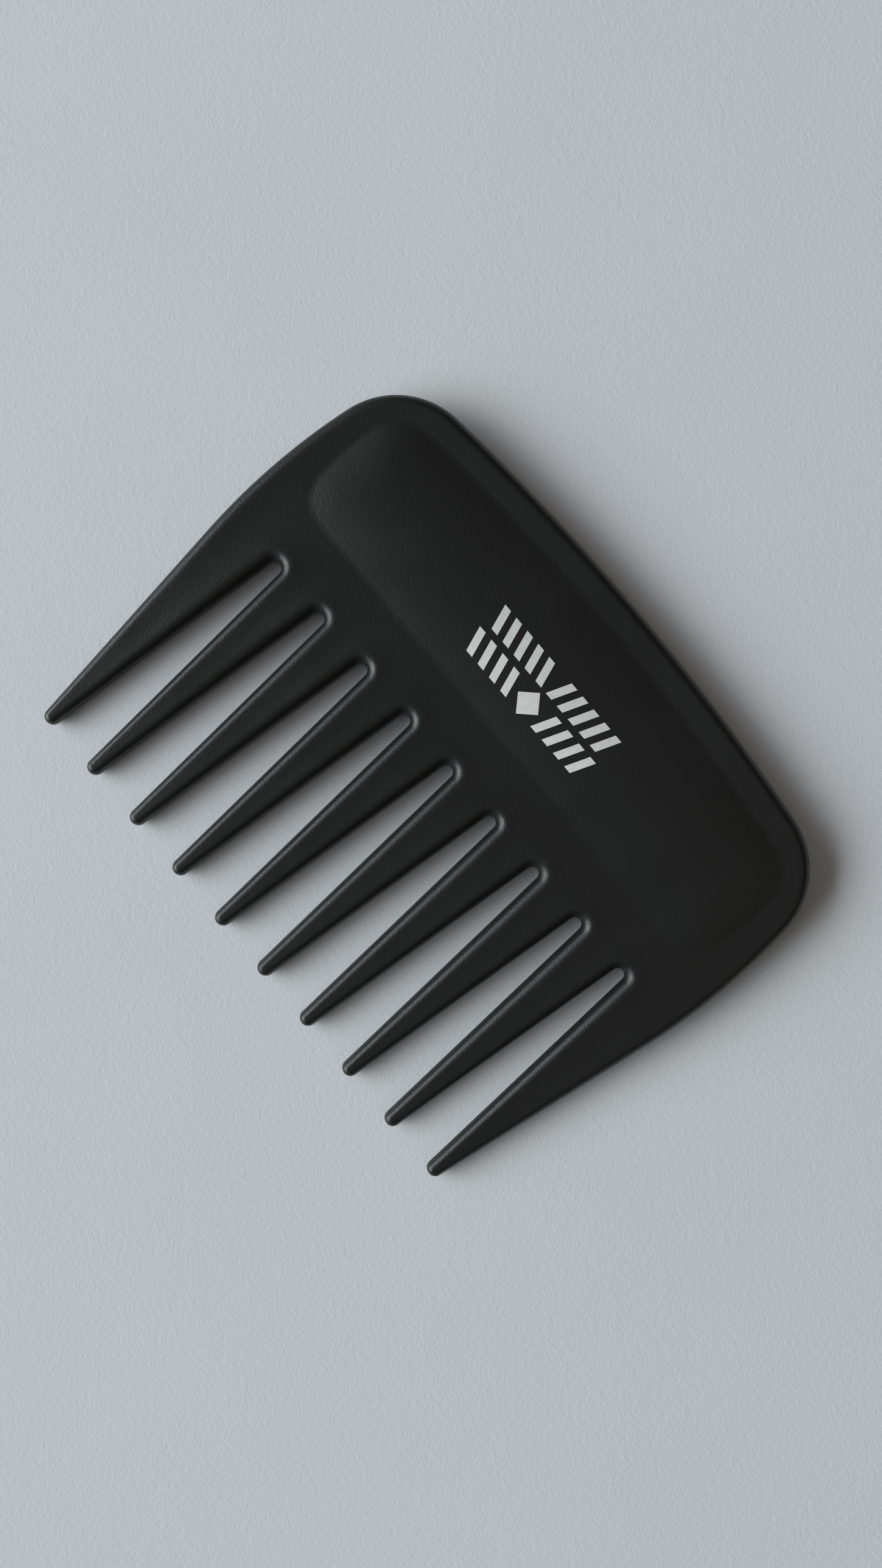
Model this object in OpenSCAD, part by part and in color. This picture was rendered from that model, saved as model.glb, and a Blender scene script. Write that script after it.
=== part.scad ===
// Beard comb, moulded in one piece: a bowed body with a row of wide tapered teeth, full-round edges,
// and a raised pillow-shaped grip pad on each face. An ornament of ink is printed on the front pad.
// +X runs along the spine, +Y from the tooth tips to the spine, and +Z out of the front face.
// The origin is below the middle of the comb, on the surface that the comb lies on.

/* [Outline] */
// Width of the comb where it is widest
comb_w = 100; // [90:1:120]
// Height from the tooth tips to the top of the spine
comb_h = 76; // [70:1:90]
// Radius of the arched spine
spine_r = 350; // [250:10:500]
// Radius of the bowed sides
side_r = 100; // [80:5:150]
// Radius of the two upper corners
corner_r = 13; // [9:0.5:16]
// Height of the widest point above the roots of the gaps
widest_above_root = 8.3; // [5:0.1:12]
// Slant of the outer edge of the end teeth, in degrees
flank_slant = 7.3; // [5:0.1:9]

/* [Teeth] */
// Number of teeth
tooth_count = 10; // [7:1:12]
// Depth of the gaps, from the tooth tips to the roots
gap_depth = 41; // [34:1:44]
// Width of a gap at its round root
root_gap = 1.85; // [1.5:0.05:2.5]
// Width of a tooth at its round tip
tip_w = 2.5; // [2.2:0.1:3]

/* [Thickness] */
// Thickness of the body between its flat faces
body_t = 3.5; // [3:0.1:4.5]
// Thickness of the teeth at their tips
tip_t = 2.4; // [2:0.1:3]
// How far the edge rounding reaches in from the body's outline
body_round = 1.7; // [1.2:0.1:1.9]
// How far the edge rounding reaches in at the tooth tips
tip_round = 1; // [0.7:0.05:1.05]

/* [Grip pads] */
// Height of the pad's crown above the flat face
pad_rise = 1; // [0.6:0.1:1.5]
// Distance from the top of the spine to the pad
pad_rim = 4.9; // [4:0.1:7]
// Distance from the widest point of the side to the pad
pad_side = 5.7; // [5:0.1:8]
// Height of the pad's straight lower edge above the roots of the gaps
pad_above_root = 8; // [6:0.1:10]
// Length over which the pad's ends slope down
pad_end_run = 8; // [6:0.5:12]
// Squareness of the pad's corners, where 2 is an ellipse
pad_squareness = 3.5; // [2:0.1:5]
// Share of the back pad's height that is flat along its crown, so that the comb lies steady
back_flat = 0.4; // [0.35:0.05:0.7]

/* [Printed ornament] */
// Width of the ornament
print_w = 25.6; // [20:0.2:30]
// Height of each row of bars
row_h = 3.7; // [3:0.1:4]
// Gap between the two rows
row_gap = 1; // [0.6:0.1:1.4]
// Height of the ornament's middle above the roots of the gaps
print_above_root = 16.7; // [16:0.1:20]
// Number of bars in each half of the upper row
upper_bars = 5; // [3:1:6]
// Number of bars in each half of the lower row
lower_bars = 4; // [2:1:5]
// Width of one bar
bar_w = 1.25; // [0.8:0.05:1.5]
// Lean of the bars away from the middle, in degrees
bar_lean = 20; // [0:1:30]
// Width of the lozenge in the middle of the lower row
lozenge_w = 4.4; // [3:0.1:5]
// Thickness of the ink
ink_t = 0.04; // [0.02:0.01:0.1]

/* [Smoothness] */
// Steps round the edge rounding, from the middle to one face
edge_steps = 5; // [3:1:6]
// Steps round each tooth tip
tip_steps = 8; // [4:2:10]
// Steps round each root
root_steps = 8; // [4:2:10]

/* [Hidden] */

mid_z = body_t / 2 + pad_rise;
face_z = mid_z + body_t / 2;
top_y = comb_h / 2;
tip_y = -comb_h / 2;
root_y = tip_y + gap_depth;
widest_y = root_y + widest_above_root;
tip_r = tip_w / 2;
root_r = root_gap / 2;
tip_centre_y = tip_y + tip_r;
root_centre_y = root_y - root_r;
spine_steps = 16;
corner_steps = 8;
side_steps = 8;

// The arcs of the right-hand side. Each one is tangent to the next.
spine_centre = [0, top_y - spine_r];
side_centre = [comb_w / 2 - side_r, widest_y];
corner_centre = circles_meet(spine_centre, spine_r - corner_r, side_centre, side_r - corner_r);
side_to_corner = heading(side_centre, corner_centre);
corner_to_spine = heading(spine_centre, corner_centre);
side_end_y = widest_y - side_r * sin(flank_slant);

// The straight flank from the side's arc to the round tip sets where the end tooth is.
end_tooth_x = (side_centre.x * cos(flank_slant) - side_centre.y * sin(flank_slant) + side_r - tip_r
    + tip_centre_y * sin(flank_slant)) / cos(flank_slant);
tooth_pitch = 2 * end_tooth_x / (tooth_count - 1);

// The edge between a tip's circle and the next root's circle is tangent to both.
tip_to_root = [tooth_pitch / 2, root_centre_y - tip_centre_y];
tooth_slant = acos((tip_r + root_r) / norm(tip_to_root)) - heading([0, 0], tip_to_root);

// The teeth get thinner from this line to their tips.
taper_y = min(root_y, side_end_y) - 1.5;

// The pad's extent. Its upper edge is parallel to the arched spine.
pad_low_y = root_y + pad_above_root;
pad_top_r = spine_r - pad_rim;
pad_half_w = comb_w / 2 - pad_side;
pad_flat_half_w = pad_half_w - pad_end_run;
pad_sink = 0.5;
pad_levels = 8;
pad_end_steps = 12;
pad_long_steps = 12;
film = 0.001;

// The crown across the middle of the front pad is an arc, and the ink follows it.
pad_mid_half_h = pad_half_h(0);
crown_r = (pad_mid_half_h * pad_mid_half_h + pad_rise * pad_rise) / (2 * pad_rise);
ink_overlap = 0.01;
print_mid_y = root_y + print_above_root;

moulding_colour = [0.09, 0.09, 0.095];
ink_colour = [0.83, 0.84, 0.84];

// Direction from point a to point b, in degrees
function heading(a, b) = atan2(b.y - a.y, b.x - a.x);

// The right-hand meeting point of two circles, seen from the first centre towards the second
function circles_meet(a, ra, b, rb) =
    let (apart = norm(b - a))
    let (along = (ra * ra - rb * rb + apart * apart) / (2 * apart))
    let (across = sqrt(ra * ra - along * along))
    let (ahead = (b - a) / apart)
    a + along * ahead + across * [ahead.y, -ahead.x];

// Outline points are [x, y, the direction that the edge faces]. A negative radius makes a hollow arc.
function arc(centre, r, from, to, steps, first = 0) = [
    for (i = [first:steps])
        let (a = from + (to - from) * i / steps)
        [centre.x + r * cos(a), centre.y + r * sin(a), a]
];

// The spine, its corners and the bowed sides, anticlockwise from the right-hand flank
function body_outline() = concat(
    arc(side_centre, side_r, -flank_slant, side_to_corner, side_steps),
    arc(corner_centre, corner_r, side_to_corner, corner_to_spine, corner_steps, 1),
    arc(spine_centre, spine_r, corner_to_spine, 180 - corner_to_spine, spine_steps, 1),
    arc(mirrored(corner_centre), corner_r, 180 - corner_to_spine, 180 - side_to_corner, corner_steps, 1),
    arc(mirrored(side_centre), side_r, 180 - side_to_corner, 180 + flank_slant, side_steps, 1)
);

function mirrored(point) = [-point.x, point.y];
function tooth_x(k) = (k - (tooth_count - 1) / 2) * tooth_pitch;
function left_facing(k) = 180 + (k == 0 ? flank_slant : tooth_slant);
function right_facing(k) = 360 - (k == tooth_count - 1 ? flank_slant : tooth_slant);

// The point of a tooth's straight edge whose rounding ends on the taper line
function taper_point(k, facing) =
    let (y = taper_y + body_round * sin(facing))
    let (tangent_y = tip_centre_y + tip_r * sin(facing))
    [tooth_x(k) + tip_r * cos(facing) - (y - tangent_y) * tan(facing), y, facing];

function tooth_outline(k) = concat(
    [taper_point(k, left_facing(k))],
    arc([tooth_x(k), tip_centre_y], tip_r, left_facing(k), right_facing(k), tip_steps),
    [taper_point(k, right_facing(k))]
);

function root_outline(k) =
    let (centre = [tooth_x(k) + tooth_pitch / 2, root_centre_y])
    arc(centre, -root_r, right_facing(k), left_facing(k + 1), root_steps);

// How far a height is along the taper, from 0 on the taper line to 1 at the tips
function towards_tip(y) = min(max((taper_y - y) / (taper_y - tip_y), 0), 1);
function half_t(y) = (body_t + (tip_t - body_t) * towards_tip(y)) / 2;
function edge_round(y) = body_round + (tip_round - body_round) * towards_tip(y);

// One ring of the rounded edge. Its turn goes from 90 at the front face to -90 at the back face.
function edge_ring(outline, turn) = [
    for (p = outline)
        let (inset = edge_round(p.y) * (1 - cos(turn)))
        let (x = p.x - inset * cos(p[2]))
        let (y = p.y - inset * sin(p[2]))
        [x, y, mid_z + half_t(y) * sin(turn)]
];

// The plate with full-round edges: rings round the outline, closed by flat faces.
// Each face is one polygon over the body and one on each tooth, where the face slopes.
module rounded_plate() {
    body = body_outline();
    teeth = [
        for (k = [0:tooth_count - 1])
            each concat(tooth_outline(k), k < tooth_count - 1 ? root_outline(k) : [])
    ];
    outline = concat(body, teeth);
    per_ring = len(outline);
    rings = 2 * edge_steps;
    per_tooth = tip_steps + 3;
    tooth_to_tooth = per_tooth + root_steps + 1;

    points = [for (j = [0:rings]) each edge_ring(outline, 90 - 180 * j / rings)];
    edge_faces = [
        for (j = [0:rings - 1])
            for (i = [0:per_ring - 1])
                let (next = (i + 1) % per_ring)
                let (upper = j * per_ring)
                let (lower = upper + per_ring)
                each [[upper + i, upper + next, lower + next], [upper + i, lower + next, lower + i]]
    ];
    body_face = [
        for (i = [0:per_ring - 1])
            let (place = (i - len(body)) % tooth_to_tooth)
            if (i < len(body) || place == 0 || place >= per_tooth - 1) i
    ];
    tooth_faces = [
        for (k = [0:tooth_count - 1])
            let (start = len(body) + k * tooth_to_tooth)
            [for (i = [0:per_tooth - 1]) start + i]
    ];
    front_faces = [for (face = concat([body_face], tooth_faces)) [for (i = [len(face) - 1:-1:0]) face[i]]];
    back_faces = [for (face = concat([body_face], tooth_faces)) [for (i = face) i + rings * per_ring]];
    polyhedron(points, concat(edge_faces, front_faces, back_faces));
}

function pad_top_y(x) = spine_centre.y + sqrt(pad_top_r * pad_top_r - x * x);
function pad_half_h(x) = (pad_top_y(x) - pad_low_y) / 2;
function signed_root(value, power) = sign(value) * pow(abs(value), 2 / power);

// The pad's outline shrunk by a share: its end is a superellipse round each end of the flat stretch.
function pad_end(side, share) = [
    for (i = [0:pad_end_steps])
        let (a = side * 90 - 180 * side * i / pad_end_steps)
        let (x = side * (pad_flat_half_w + pad_end_run * share * signed_root(cos(a), pad_squareness)))
        [x, pad_low_y + pad_half_h(x) * (1 + share * signed_root(side * sin(a), pad_squareness))]
];

function pad_long_edge(share) = [
    for (i = [1:pad_long_steps - 1])
        let (x = pad_flat_half_w * (2 * i / pad_long_steps - 1))
        [x, pad_low_y + pad_half_h(x) * (1 + share)]
];

// A pillow on the plane z = 0. It slopes from its outline up to a crown that is flat out to a share.
module pillow(flat_share) {
    hull() {
        for (level = [0:pad_levels]) {
            slope = 1 - level / pad_levels;
            share = flat_share + (1 - flat_share) * slope;
            translate([0, 0, pad_rise * (1 - slope * slope)])
                linear_extrude(film)
                    polygon(concat(pad_end(1, share), pad_end(-1, share), pad_long_edge(share)));
        }
        translate([0, 0, -pad_sink])
            linear_extrude(film)
                polygon(concat(pad_end(1, 1), pad_end(-1, 1), pad_long_edge(1)));
    }
}

module comb_moulding() {
    color(moulding_colour)
        resize([comb_w, 0, 0])
            union() {
                rounded_plate();
                for (front = [0, 1])
                    translate([0, 0, mid_z])
                        mirror([0, 0, 1 - front])
                            translate([0, 0, body_t / 2])
                                pillow(front == 1 ? 0 : back_flat);
            }
}

// Ink in the plan shape of its children, lying on the pad's crown
module ink() {
    color(ink_colour)
        intersection() {
            translate([0, 0, face_z])
                linear_extrude(2 * pad_rise)
                    children();
            translate([0, pad_low_y + pad_mid_half_h, face_z + pad_rise - crown_r])
                rotate([0, 90, 0])
                    difference() {
                        cylinder(r = crown_r + ink_t, h = print_w, center = true, $fn = 720);
                        cylinder(r = crown_r - ink_overlap, h = 2 * print_w, center = true, $fn = 720);
                    }
        }
}

// A row of leaning bars, the same on both sides of the middle. The outer bars end at half the width.
module bar_row(low_y, bars, inner_x) {
    lean = row_h * tan(bar_lean);
    spacing = (print_w / 2 - lean - bar_w - inner_x) / (bars - 1);
    for (side = [0, 1])
        mirror([side, 0])
            for (i = [0:bars - 1])
                translate([inner_x + i * spacing, low_y])
                    polygon([[0, 0], [bar_w, 0], [bar_w + lean, row_h], [lean, row_h]]);
}

module print_upper_row() {
    ink()
        bar_row(print_mid_y + row_gap / 2, upper_bars, bar_w * 0.4);
}

module print_lower_row() {
    ink()
        bar_row(print_mid_y - row_gap / 2 - row_h, lower_bars, lozenge_w / 2 + bar_w * 0.4);
}

module print_lozenge() {
    half_h = row_h / 2 + row_gap * 0.4;
    ink()
        translate([0, print_mid_y - (row_gap + row_h) / 2])
            polygon([[-lozenge_w / 2, 0], [0, -half_h], [lozenge_w / 2, 0], [0, half_h]]);
}

comb_moulding();
print_upper_row();
print_lower_row();
print_lozenge();
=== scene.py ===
import math

import bpy
import numpy as np
from mathutils import Euler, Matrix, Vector
from mathutils.geometry import delaunay_2d_cdt
from mathutils.kdtree import KDTree


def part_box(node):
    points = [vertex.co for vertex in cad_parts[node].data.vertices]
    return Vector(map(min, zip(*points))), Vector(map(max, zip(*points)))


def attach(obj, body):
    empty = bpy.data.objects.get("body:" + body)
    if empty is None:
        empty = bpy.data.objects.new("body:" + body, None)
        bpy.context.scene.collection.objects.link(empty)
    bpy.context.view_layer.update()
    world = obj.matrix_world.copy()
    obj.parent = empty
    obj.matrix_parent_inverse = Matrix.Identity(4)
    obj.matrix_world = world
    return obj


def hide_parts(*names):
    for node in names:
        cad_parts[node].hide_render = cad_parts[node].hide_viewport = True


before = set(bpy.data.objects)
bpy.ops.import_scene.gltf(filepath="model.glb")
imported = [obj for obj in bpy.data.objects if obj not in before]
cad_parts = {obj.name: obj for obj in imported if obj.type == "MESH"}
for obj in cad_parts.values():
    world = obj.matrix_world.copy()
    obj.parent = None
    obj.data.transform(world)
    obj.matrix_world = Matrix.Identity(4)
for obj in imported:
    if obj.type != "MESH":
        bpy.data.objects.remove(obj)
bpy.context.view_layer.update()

# Lengths are in millimetres and angles in radians until a mesh or an object is made.
MM = 0.001

# The comb's width, height, thickness and place come from the frame.
box_low, box_high = [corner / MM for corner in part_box("comb_moulding")]
COMB_W = box_high.x - box_low.x
TOP_Y = box_high.y
TIP_Y = box_low.y
MID_Z = (box_low.z + box_high.z) / 2

# Outline
SPINE_R = 350
SIDE_R = 100
CORNER_R = 13
GAP_DEPTH = 41
WIDEST_ABOVE_ROOT = 8.3
FLANK_SLANT = math.radians(7.3)
ROOT_Y = TIP_Y + GAP_DEPTH
WIDEST_Y = ROOT_Y + WIDEST_ABOVE_ROOT

# Teeth
TOOTH_COUNT = 10
ROOT_R = 0.925
TIP_R = 1.25
TIP_CENTRE_Y = TIP_Y + TIP_R
ROOT_CENTRE_Y = ROOT_Y - ROOT_R

# Thickness and edge rounding
PAD_RISE = 1
BODY_HALF_T = MID_Z - PAD_RISE
TIP_HALF_T = 1.2
BODY_ROUND = 1.7
TIP_ROUND = 1
PARTING_H = 0.03
PARTING_HALF_TURN = math.radians(2)
TAPER_START = 1.5

# The faces sink a little between their borders, as thick mouldings do. SINK_SAMPLE is the spacing of the
# samples along a border, and SINK_BATCH is how many places are worked out at once.
SINK_DEPTH = 0.17
SINK_REACH = 1.2
SINK_SOFTNESS = 0.25
SINK_SAMPLE = 0.3
SINK_BATCH = 1000

# The grid of points on the flat faces, clear of their borders and of the pads
GRID_STEP = 0.45
GRID_CLEARANCE = 0.3
GRID_PAD_SHARE = 1.1

# Points of a face that are closer together than this count as one in its triangles
MERGE_DISTANCE = 1e-6

# Grip pads
PAD_RIM = 4.9
PAD_SIDE = 5.7
PAD_ABOVE_ROOT = 8
PAD_END_RUN = 8
PAD_SQUARENESS = 3.5
PAD_FILLET = 0.11
BACK_FLAT = 0.4
PAD_LOW_Y = ROOT_Y + PAD_ABOVE_ROOT
PAD_TOP_R = SPINE_R - PAD_RIM
PAD_FLAT_HALF_W = COMB_W / 2 - PAD_SIDE - PAD_END_RUN

# Steps along the arcs, the straight edges and the edge rounding
SPINE_STEPS = 72
CORNER_STEPS = 24
SIDE_STEPS = 36
TIP_STEPS = 24
ROOT_STEPS = 24
EDGE_STEPS = 28
ROUND_STEPS = 10
PAD_END_STEPS = 32
PAD_LONG_STEPS = 48
PAD_LEVELS = 16
FILLET_LEVELS = 6


def heading(a, b):
    return math.atan2(b[1] - a[1], b[0] - a[0])


def circles_meet(a, ra, b, rb):
    """The right-hand meeting point of two circles, seen from the first centre towards the second."""
    apart = math.dist(a, b)
    along = (ra * ra - rb * rb + apart * apart) / (2 * apart)
    across = math.sqrt(ra * ra - along * along)
    ahead = ((b[0] - a[0]) / apart, (b[1] - a[1]) / apart)
    return (a[0] + along * ahead[0] + across * ahead[1], a[1] + along * ahead[1] - across * ahead[0])


def mirrored(point):
    return (-point[0], point[1])


# The arcs of the right-hand side. Each one is tangent to the next.
SPINE_CENTRE = (0, TOP_Y - SPINE_R)
SIDE_CENTRE = (COMB_W / 2 - SIDE_R, WIDEST_Y)
CORNER_CENTRE = circles_meet(SPINE_CENTRE, SPINE_R - CORNER_R, SIDE_CENTRE, SIDE_R - CORNER_R)
SIDE_TO_CORNER = heading(SIDE_CENTRE, CORNER_CENTRE)
CORNER_TO_SPINE = heading(SPINE_CENTRE, CORNER_CENTRE)
SIDE_END_Y = WIDEST_Y - SIDE_R * math.sin(FLANK_SLANT)
TAPER_Y = min(ROOT_Y, SIDE_END_Y) - TAPER_START

# The straight flank from the side's arc to the round tip sets where the end tooth is.
FLANK_REACH = SIDE_CENTRE[0] * math.cos(FLANK_SLANT) - SIDE_CENTRE[1] * math.sin(FLANK_SLANT) + SIDE_R
END_TOOTH_X = (FLANK_REACH - TIP_R + TIP_CENTRE_Y * math.sin(FLANK_SLANT)) / math.cos(FLANK_SLANT)
TOOTH_PITCH = 2 * END_TOOTH_X / (TOOTH_COUNT - 1)

# The edge between a tip's circle and the next root's circle is tangent to both.
TIP_TO_ROOT = (TOOTH_PITCH / 2, ROOT_CENTRE_Y - TIP_CENTRE_Y)
TOOTH_SLANT = math.acos((TIP_R + ROOT_R) / math.hypot(*TIP_TO_ROOT)) - heading((0, 0), TIP_TO_ROOT)


def arc(centre, radius, start, end, steps, first=0):
    """Outline points (x, y, direction that the edge faces). A negative radius makes a hollow arc."""
    points = []
    for i in range(first, steps + 1):
        facing = start + (end - start) * i / steps
        x = centre[0] + radius * math.cos(facing)
        y = centre[1] + radius * math.sin(facing)
        points.append((x, y, facing))
    return points


def straight(start, end, steps):
    """Outline points between two others, on a straight edge that faces one way."""
    points = []
    for i in range(1, steps):
        x = start[0] + (end[0] - start[0]) * i / steps
        y = start[1] + (end[1] - start[1]) * i / steps
        points.append((x, y, start[2]))
    return points


def body_outline():
    """The spine, its corners and the bowed sides, anticlockwise from the right-hand flank."""
    left_corner = mirrored(CORNER_CENTRE)
    left_side = mirrored(SIDE_CENTRE)
    spine_to_corner = math.pi - CORNER_TO_SPINE
    corner_to_side = math.pi - SIDE_TO_CORNER
    return (
        arc(SIDE_CENTRE, SIDE_R, -FLANK_SLANT, SIDE_TO_CORNER, SIDE_STEPS)
        + arc(CORNER_CENTRE, CORNER_R, SIDE_TO_CORNER, CORNER_TO_SPINE, CORNER_STEPS, 1)
        + arc(SPINE_CENTRE, SPINE_R, CORNER_TO_SPINE, spine_to_corner, SPINE_STEPS, 1)
        + arc(left_corner, CORNER_R, spine_to_corner, corner_to_side, CORNER_STEPS, 1)
        + arc(left_side, SIDE_R, corner_to_side, math.pi + FLANK_SLANT, SIDE_STEPS, 1)
    )


def tooth_x(k):
    return (k - (TOOTH_COUNT - 1) / 2) * TOOTH_PITCH


def left_facing(k):
    return math.pi + (FLANK_SLANT if k == 0 else TOOTH_SLANT)


def right_facing(k):
    return 2 * math.pi - (FLANK_SLANT if k == TOOTH_COUNT - 1 else TOOTH_SLANT)


def comb_outline():
    """The arcs of the body, tooth tips and roots, joined by straight edges."""
    runs = [body_outline()]
    for k in range(TOOTH_COUNT):
        runs.append(arc((tooth_x(k), TIP_CENTRE_Y), TIP_R, left_facing(k), right_facing(k), TIP_STEPS))
        if k < TOOTH_COUNT - 1:
            centre = (tooth_x(k) + TOOTH_PITCH / 2, ROOT_CENTRE_Y)
            runs.append(arc(centre, -ROOT_R, right_facing(k), left_facing(k + 1), ROOT_STEPS))
    points = []
    for run, following in zip(runs, runs[1:] + runs[:1]):
        points += run + straight(run[-1], following[0], EDGE_STEPS)
    return points


def towards_tip(y):
    """How far a height is along the taper, from 0 on the taper line to 1 at the tips."""
    return min(max((TAPER_Y - y) / (TAPER_Y - TIP_Y), 0), 1)


def half_thickness(y):
    return BODY_HALF_T + (TIP_HALF_T - BODY_HALF_T) * towards_tip(y)


def edge_rounding(y):
    return BODY_ROUND + (TIP_ROUND - BODY_ROUND) * towards_tip(y)


def edge_turns():
    """The turns of the edge's rings, from the front face to the back face, past the parting line."""
    quarter = math.pi / 2
    step = (quarter - PARTING_HALF_TURN) / ROUND_STEPS
    front = [quarter - step * i for i in range(ROUND_STEPS + 1)]
    return front + [0] + [-turn for turn in reversed(front)]


def inset_point(point, inset):
    x, y, facing = point
    return (x - inset * math.cos(facing), y - inset * math.sin(facing))


def face_border(outline):
    """The border of the flat face, where the edge rounding ends."""
    return [inset_point(point, edge_rounding(point[1])) for point in outline]


def sampled(loop):
    """Points spread along a closed loop, the length that each stands for, and the way out of the loop."""
    points = []
    lengths = []
    outward = []
    for start, end in zip(loop, loop[1:] + loop[:1]):
        length = math.dist(start, end)
        along = ((end[0] - start[0]) / length, (end[1] - start[1]) / length)
        steps = max(1, round(length / SINK_SAMPLE))
        for i in range(steps):
            distance = length * (i + 0.5) / steps
            points.append((start[0] + along[0] * distance, start[1] + along[1] * distance))
            lengths.append(length / steps)
            outward.append((along[1], -along[0]))
    return points, lengths, outward


def border_rise(places, border):
    """How much higher the face is at some places than far from its border."""
    samples, lengths, _ = sampled(border)
    samples = np.array(samples)
    lengths = np.array(lengths)
    rises = []
    for first in range(0, len(places), SINK_BATCH):
        batch = np.array(places[first:first + SINK_BATCH])
        squared = ((batch[:, None, :] - samples[None, :, :]) ** 2).sum(axis=2)
        distance = np.sqrt(squared + SINK_SOFTNESS ** 2)
        near = (np.exp(-2 * distance / SINK_REACH) * lengths).sum(axis=1) / SINK_REACH
        depth = np.array([SINK_DEPTH * half_thickness(y) / BODY_HALF_T for y in batch[:, 1]])
        rises += (depth * np.sqrt(near)).tolist()
    return rises


def squared_off(across, up):
    """The size of the superellipse that passes through a point."""
    return (abs(across) ** PAD_SQUARENESS + abs(up) ** PAD_SQUARENESS) ** (1 / PAD_SQUARENESS)


def pad_share(x, y):
    """The share at which a pad loop passes through a point."""
    across = max(abs(x) - PAD_FLAT_HALF_W, 0) / PAD_END_RUN
    up = (y - PAD_LOW_Y) / pad_half_h(x) - 1
    return squared_off(across, up)


def face_grid(border):
    """Points in a grid on the flat face, clear of its border and of the pad."""
    samples, _, outward = sampled(border)
    tree = KDTree(len(samples))
    for i, (x, y) in enumerate(samples):
        tree.insert((x, y, 0), i)
    tree.balance()
    points = []
    for j in range(math.ceil((TOP_Y - TIP_Y) / GRID_STEP)):
        for i in range(math.ceil(COMB_W / GRID_STEP)):
            x = i * GRID_STEP - COMB_W / 2
            y = TIP_Y + j * GRID_STEP
            nearest, index, distance = tree.find((x, y, 0))
            ahead = (x - nearest.x) * outward[index][0] + (y - nearest.y) * outward[index][1]
            if ahead < 0 and distance > GRID_CLEARANCE and pad_share(x, y) > GRID_PAD_SHARE:
                points.append((x, y))
    return points


def edge_ring(outline, rises, turn):
    """One ring of the rounded edge. The parting line stands proud at turn 0."""
    ring = []
    for point, rise in zip(outline, rises):
        inset = edge_rounding(point[1]) * (1 - math.cos(turn)) + (PARTING_H if turn else 0)
        x, y = inset_point(point, inset)
        ring.append((x, y, MID_Z + (half_thickness(y) + rise) * math.sin(turn)))
    return ring


def pad_half_h(x):
    """Half the pad's height, whose upper edge is parallel to the arched spine."""
    return (SPINE_CENTRE[1] + math.sqrt(PAD_TOP_R * PAD_TOP_R - x * x) - PAD_LOW_Y) / 2


def pad_height(slope):
    """Height of the pad above the flat face, where slope is 0 on the crown and 1 on the pad's outline.
    A small fillet blends the pad into the face."""
    dome = PAD_RISE * (1 - slope * slope)
    if abs(dome) < PAD_FILLET:
        return (dome + PAD_FILLET) ** 2 / (4 * PAD_FILLET)
    return max(dome, 0)


def pad_slopes():
    """The slope values of the pad's loops, from the fillet's outer edge to near the crown."""
    outer = math.sqrt(1 + PAD_FILLET / PAD_RISE)
    inner = math.sqrt(1 - PAD_FILLET / PAD_RISE)
    fillet = [outer + (inner - outer) * i / FILLET_LEVELS for i in range(FILLET_LEVELS)]
    return fillet + [inner * (1 - i / PAD_LEVELS) for i in range(PAD_LEVELS)]


def pad_levels(flat_share):
    """The (share, height) of each of the pad's loops. The crown is flat out to the flat share."""
    levels = [(flat_share + (1 - flat_share) * slope, pad_height(slope)) for slope in pad_slopes()]
    if flat_share:
        levels.append((flat_share, PAD_RISE))
    return levels


def pad_loop(share):
    """The pad's outline shrunk by a share: a superellipse round each end of the straight stretch."""
    loop = []
    for side in (1, -1):
        for i in range(PAD_END_STEPS + 1):
            turn = math.pi * (i / PAD_END_STEPS - side / 2)
            across = math.cos(turn)
            up = math.sin(turn)
            reach = share / squared_off(across, up)
            x = side * PAD_FLAT_HALF_W + PAD_END_RUN * reach * across
            loop.append((x, PAD_LOW_Y + pad_half_h(x) * (1 + reach * up)))
        for i in range(1, PAD_LONG_STEPS):
            x = side * PAD_FLAT_HALF_W * (1 - 2 * i / PAD_LONG_STEPS)
            loop.append((x, PAD_LOW_Y + pad_half_h(x) * (1 + side * share)))
    return loop


def crown_line():
    """The pad's crown, a line between the two ends."""
    line = []
    for i in range(PAD_LONG_STEPS + 1):
        x = PAD_FLAT_HALF_W * (1 - 2 * i / PAD_LONG_STEPS)
        line.append((x, PAD_LOW_Y + pad_half_h(x)))
    return line


def closed_edges(first, count):
    return [(first + i, first + (i + 1) % count) for i in range(count)]


def grip_face(border, grid, rises, flat_share):
    """A face inside a border, with a grip pad: its plan points, their heights and its triangles."""
    points = border + grid
    heights = list(rises)
    edges = closed_edges(0, len(border))
    for share, height in pad_levels(flat_share):
        loop = pad_loop(share)
        edges += closed_edges(len(points), len(loop))
        points += loop
        heights += [height] * len(loop)
    crown = crown_line()
    edges += [(len(points) + i, len(points) + i + 1) for i in range(len(crown) - 1)]
    points += crown
    heights += [PAD_RISE] * len(crown)

    inside_constraints = 1
    corners = [Vector(point) for point in points]
    made = delaunay_2d_cdt(corners, edges, [], inside_constraints, MERGE_DISTANCE)
    source = [origins[0] for origins in made[3]]
    triangles = [tuple(source[v] for v in face) for face in made[2]]
    return points, heights, triangles


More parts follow.
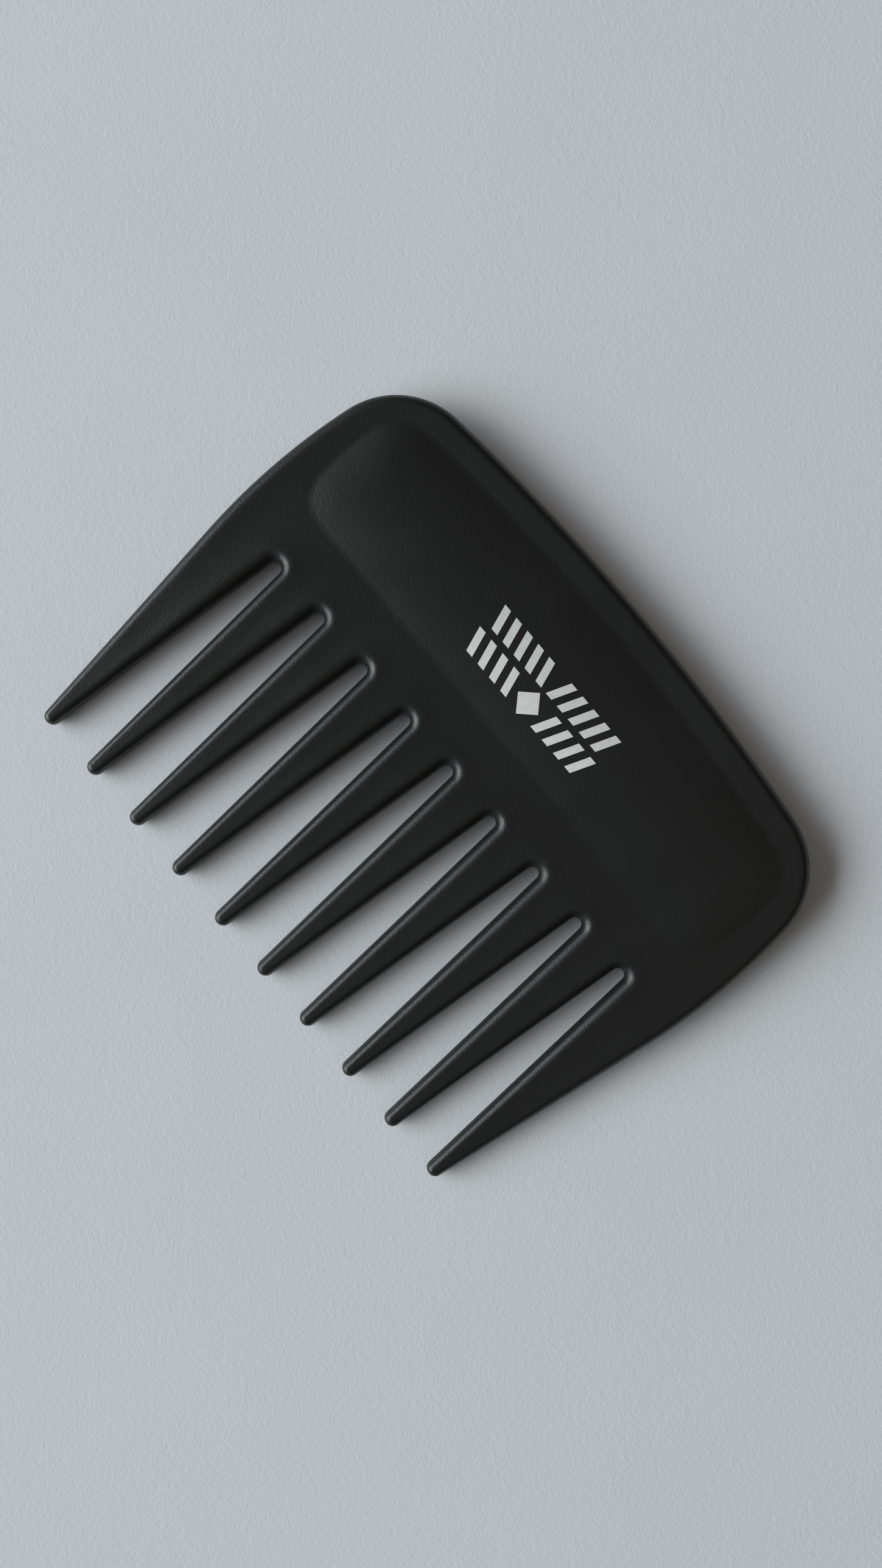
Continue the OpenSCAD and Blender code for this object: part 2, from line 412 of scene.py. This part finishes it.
def moulding_mesh():
    """Rings round the edge, closed by a front and a back face that both carry a grip pad."""
    outline = comb_outline()
    count = len(outline)
    border = face_border(outline)
    grid = face_grid(border)
    rises = border_rise(border + grid, border)
    turns = edge_turns()
    points = []
    for turn in turns:
        points += edge_ring(outline, rises, turn)
    faces = []
    for j in range(len(turns) - 1):
        for i in range(count):
            upper = j * count
            lower = upper + count
            following = (i + 1) % count
            faces.append((upper + i, lower + i, lower + following, upper + following))

    last_ring = (len(turns) - 1) * count
    for side, ring_start, flat_share in ((1, 0, 0), (-1, last_ring, BACK_FLAT)):
        plan, heights, triangles = grip_face(border, grid, rises, flat_share)
        inner_start = len(points) - count
        for (x, y), height in list(zip(plan, heights))[count:]:
            points.append((x, y, MID_Z + side * (half_thickness(y) + height)))
        for triangle in triangles:
            placed = tuple(v + (ring_start if v < count else inner_start) for v in triangle)
            faces.append(placed if side == 1 else placed[::-1])
    return points, faces


def add_mesh(name, points, faces, material):
    mesh = bpy.data.meshes.new(name)
    mesh.from_pydata([Vector(p) * MM for p in points], [], faces)
    mesh.validate()
    mesh.materials.append(material)
    piece = bpy.data.objects.new(name, mesh)
    bpy.context.scene.collection.objects.link(piece)
    return piece


# How much more a large face counts than a small one in the smooth shading
FACE_WEIGHT = 90


def shade_smooth(piece):
    for polygon in piece.data.polygons:
        polygon.use_smooth = True
    weighted = piece.modifiers.new("weighted_normals", "WEIGHTED_NORMAL")
    weighted.weight = FACE_WEIGHT


def new_material(name):
    material = bpy.data.materials.new(name)
    material.use_nodes = True
    tree = material.node_tree
    return material, tree, tree.nodes["Principled BSDF"]


def noise(tree, coordinates, scale, detail=2.0, roughness=0.5):
    node = tree.nodes.new("ShaderNodeTexNoise")
    node.inputs["Scale"].default_value = scale
    node.inputs["Detail"].default_value = detail
    node.inputs["Roughness"].default_value = roughness
    tree.links.new(coordinates, node.inputs["Vector"])
    return node.outputs["Fac"]


def spread(tree, value, low, high, to_low, to_high, interpolation="LINEAR"):
    node = tree.nodes.new("ShaderNodeMapRange")
    node.interpolation_type = interpolation
    for name, number in (("From Min", low), ("From Max", high), ("To Min", to_low), ("To Max", to_high)):
        node.inputs[name].default_value = number
    tree.links.new(value, node.inputs["Value"])
    return node.outputs["Result"]


def mix_colour(tree, factor, a, b):
    node = tree.nodes.new("ShaderNodeMix")
    node.data_type = "RGBA"
    node.inputs["A"].default_value = (*a, 1)
    node.inputs["B"].default_value = (*b, 1)
    tree.links.new(factor, node.inputs["Factor"])
    return node.outputs["Result"]


def bump(tree, height, strength, distance, normal=None):
    node = tree.nodes.new("ShaderNodeBump")
    node.inputs["Strength"].default_value = strength
    node.inputs["Distance"].default_value = distance
    tree.links.new(height, node.inputs["Height"])
    if normal:
        tree.links.new(normal, node.inputs["Normal"])
    return node.outputs["Normal"]


def object_coordinates(tree):
    return tree.nodes.new("ShaderNodeTexCoord").outputs["Object"]


# The materials. Scales are features per metre and depths are in metres.
PLASTIC_PATCHES = 90
PLASTIC_GRAIN = 2800
PLASTIC_GRAIN_DEPTH = 0.00005
PLASTIC_DARK = (0.0075, 0.0084, 0.0080)
PLASTIC_LIGHT = (0.0095, 0.0106, 0.0101)
PLASTIC_SHEEN = (1, 1, 0.93, 1)
PLASTIC_SMOOTH = 0.38
PLASTIC_ROUGH = 0.44

INK_MOTTLE = 900
INK_MOTTLE_DEPTH = 0.00003
INK_DARK = (0.63, 0.62, 0.575)
INK_LIGHT = (0.83, 0.81, 0.755)
INK_ROUGH = 0.6

PAPER_TONES = 30
PAPER_MOTTLE = 1100
PAPER_FIBRES = 2200
PAPER_DEPTH = 0.00008
PAPER_DARK = (0.76, 0.76, 0.76)
PAPER_LIGHT = (0.8, 0.8, 0.8)
PAPER_SPECULAR = 0.2
PAPER_ROUGH = 0.9


def matte_plastic():
    """Black plastic with the fine grain of a spark-eroded mould."""
    material, tree, shader = new_material("matte_black_plastic")
    at = object_coordinates(tree)
    patches = noise(tree, at, PLASTIC_PATCHES, 3)
    grain = noise(tree, at, PLASTIC_GRAIN, 3)
    colour = mix_colour(tree, patches, PLASTIC_DARK, PLASTIC_LIGHT)
    roughness = spread(tree, patches, 0.3, 0.7, PLASTIC_SMOOTH, PLASTIC_ROUGH)
    tree.links.new(colour, shader.inputs["Base Color"])
    tree.links.new(roughness, shader.inputs["Roughness"])
    tree.links.new(bump(tree, grain, 0.8, PLASTIC_GRAIN_DEPTH), shader.inputs["Normal"])
    shader.inputs["Specular Tint"].default_value = PLASTIC_SHEEN
    return material


def pale_ink():
    """Pad-printed ink, a little uneven where it was pressed on."""
    material, tree, shader = new_material("pale_ink")
    at = object_coordinates(tree)
    mottle = noise(tree, at, INK_MOTTLE, 4, 0.6)
    colour = mix_colour(tree, mottle, INK_DARK, INK_LIGHT)
    tree.links.new(colour, shader.inputs["Base Color"])
    shader.inputs["Roughness"].default_value = INK_ROUGH
    tree.links.new(bump(tree, mottle, 0.2, INK_MOTTLE_DEPTH), shader.inputs["Normal"])
    return material


def paper():
    """Pale uncoated paper with a fine fibre grain."""
    material, tree, shader = new_material("paper")
    at = object_coordinates(tree)
    fibres = noise(tree, at, PAPER_FIBRES, 3, 0.6)
    mottle = noise(tree, at, PAPER_MOTTLE, 3, 0.6)
    tones = noise(tree, at, PAPER_TONES, 2)
    colour = mix_colour(tree, tones, PAPER_DARK, PAPER_LIGHT)
    tree.links.new(colour, shader.inputs["Base Color"])
    shader.inputs["Roughness"].default_value = PAPER_ROUGH
    shader.inputs["Specular IOR Level"].default_value = PAPER_SPECULAR
    relief = bump(tree, mottle, 0.38, PAPER_DEPTH)
    tree.links.new(bump(tree, fibres, 0.36, PAPER_DEPTH, relief), shader.inputs["Normal"])
    return material


def make_moulding(material):
    piece = add_mesh("comb_body", *moulding_mesh(), material)
    shade_smooth(piece)
    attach(piece, "root")
    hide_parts("comb_moulding")
    return piece


def finish_ink(material):
    for name in ("print_upper_row", "print_lower_row", "print_lozenge"):
        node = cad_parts[name]
        node.data.materials.clear()
        node.data.materials.append(material)


# The comb lies on the lower edge of its back pad's flat and on the tips of its teeth.
FLOOR_HALF = 1500
FLOOR_GAP = 0.02


def make_floor(material, comb):
    """The plane just under the lower edge of the back pad's flat and the teeth."""
    pad_y = PAD_LOW_Y + pad_half_h(0) * (1 - BACK_FLAT)
    places = [vertex.co / MM for vertex in comb.data.vertices]
    slope = min(place.z / (pad_y - place.y) for place in places if place.y < ROOT_Y)
    corners = []
    for x, y in ((-1, -1), (1, -1), (1, 1), (-1, 1)):
        corners.append((x * FLOOR_HALF, y * FLOOR_HALF, slope * (pad_y - y * FLOOR_HALF) - FLOOR_GAP))
    floor = add_mesh("floor", corners, [(0, 1, 2, 3)], material)


# The camera looks almost straight down. Its place is from the comb's middle, and its turn is in degrees.
CAMERA_OFFSET = (-0.41, 8.53, 171.14)
CAMERA_TURN = (-2.085, 1.835, 49.823)
CAMERA_LENS = 27.06
CAMERA_SENSOR = 36
CAMERA_NEAR = 0.001


def make_camera():
    data = bpy.data.cameras.new("camera")
    data.lens = CAMERA_LENS
    data.sensor_width = CAMERA_SENSOR
    data.clip_start = CAMERA_NEAR
    camera = bpy.data.objects.new("camera", data)
    centre = Vector((0, 0, MID_Z))
    camera.location = (centre + Vector(CAMERA_OFFSET)) * MM
    camera.rotation_euler = Euler([math.radians(a) for a in CAMERA_TURN], "XYZ")
    bpy.context.scene.collection.objects.link(camera)
    bpy.context.scene.camera = camera


# The window is an area light. The room is dim, with bright parts (heading, height, half angle, colour).
# Headings, heights and half angles are in degrees, and the distance and the size are in metres.
KEY_HEADING = 227
KEY_HEIGHT = 29
KEY_DISTANCE = 1.8
KEY_SIZE = (2.6, 0.85)
KEY_POWER = 45
KEY_COLOUR = (0.637, 0.705, 0.86)
ROOM_COLOUR = (0.050, 0.046, 0.038)
ROOM_LIGHTS = (
    (15, 62, 40, (0.2, 0.19, 0.185)),
    (180, 40, 45, (0.17, 0.165, 0.15)),
    (232, 20.8, 29.7, (4.15, 4.5, 3.8)),
)


def towards(heading_angle, height_angle):
    """The direction at a heading from +X and a height above the horizon, both in degrees."""
    turn = math.radians(heading_angle)
    rise = math.radians(height_angle)
    return Vector((math.cos(turn) * math.cos(rise), math.sin(turn) * math.cos(rise), math.sin(rise)))


def make_key_light():
    """A large soft window, low on the side of the tooth tips."""
    data = bpy.data.lights.new("window", "AREA")
    data.shape = "RECTANGLE"
    data.size, data.size_y = KEY_SIZE
    data.energy = KEY_POWER
    data.color = KEY_COLOUR
    light = bpy.data.objects.new("window", data)
    direction = towards(KEY_HEADING, KEY_HEIGHT)
    light.location = direction * KEY_DISTANCE
    light.rotation_euler = direction.to_track_quat("Z", "Y").to_euler()
    bpy.context.scene.collection.objects.link(light)


def vector_math(tree, operation, first, second, result="Vector"):
    node = tree.nodes.new("ShaderNodeVectorMath")
    node.operation = operation
    tree.links.new(first, node.inputs[0])
    node.inputs[1].default_value = second
    return node.outputs[result]


def make_world():
    """A dim room with large soft bright parts."""
    world = bpy.data.worlds.new("room")
    world.use_nodes = True
    tree = world.node_tree
    direction = tree.nodes.new("ShaderNodeTexCoord").outputs["Generated"]
    black = vector_math(tree, "MULTIPLY", direction, (0, 0, 0))
    total = vector_math(tree, "ADD", black, ROOM_COLOUR)
    for heading_angle, height_angle, half_angle, colour in ROOM_LIGHTS:
        middle = towards(heading_angle, height_angle)
        closeness = vector_math(tree, "DOT_PRODUCT", direction, middle, "Value")
        edge = math.cos(math.radians(half_angle))
        share = spread(tree, closeness, edge, 1, 0, 1, "SMOOTHSTEP")
        light = vector_math(tree, "MULTIPLY", share, colour)
        add = tree.nodes.new("ShaderNodeVectorMath")
        tree.links.new(total, add.inputs[0])
        tree.links.new(light, add.inputs[1])
        total = add.outputs["Vector"]
    tree.links.new(total, tree.nodes["Background"].inputs["Color"])
    bpy.context.scene.world = world


make_camera()
comb_body = make_moulding(matte_plastic())
finish_ink(pale_ink())
make_floor(paper(), comb_body)
make_key_light()
make_world()
bpy.context.scene.view_settings.view_transform = "Standard"
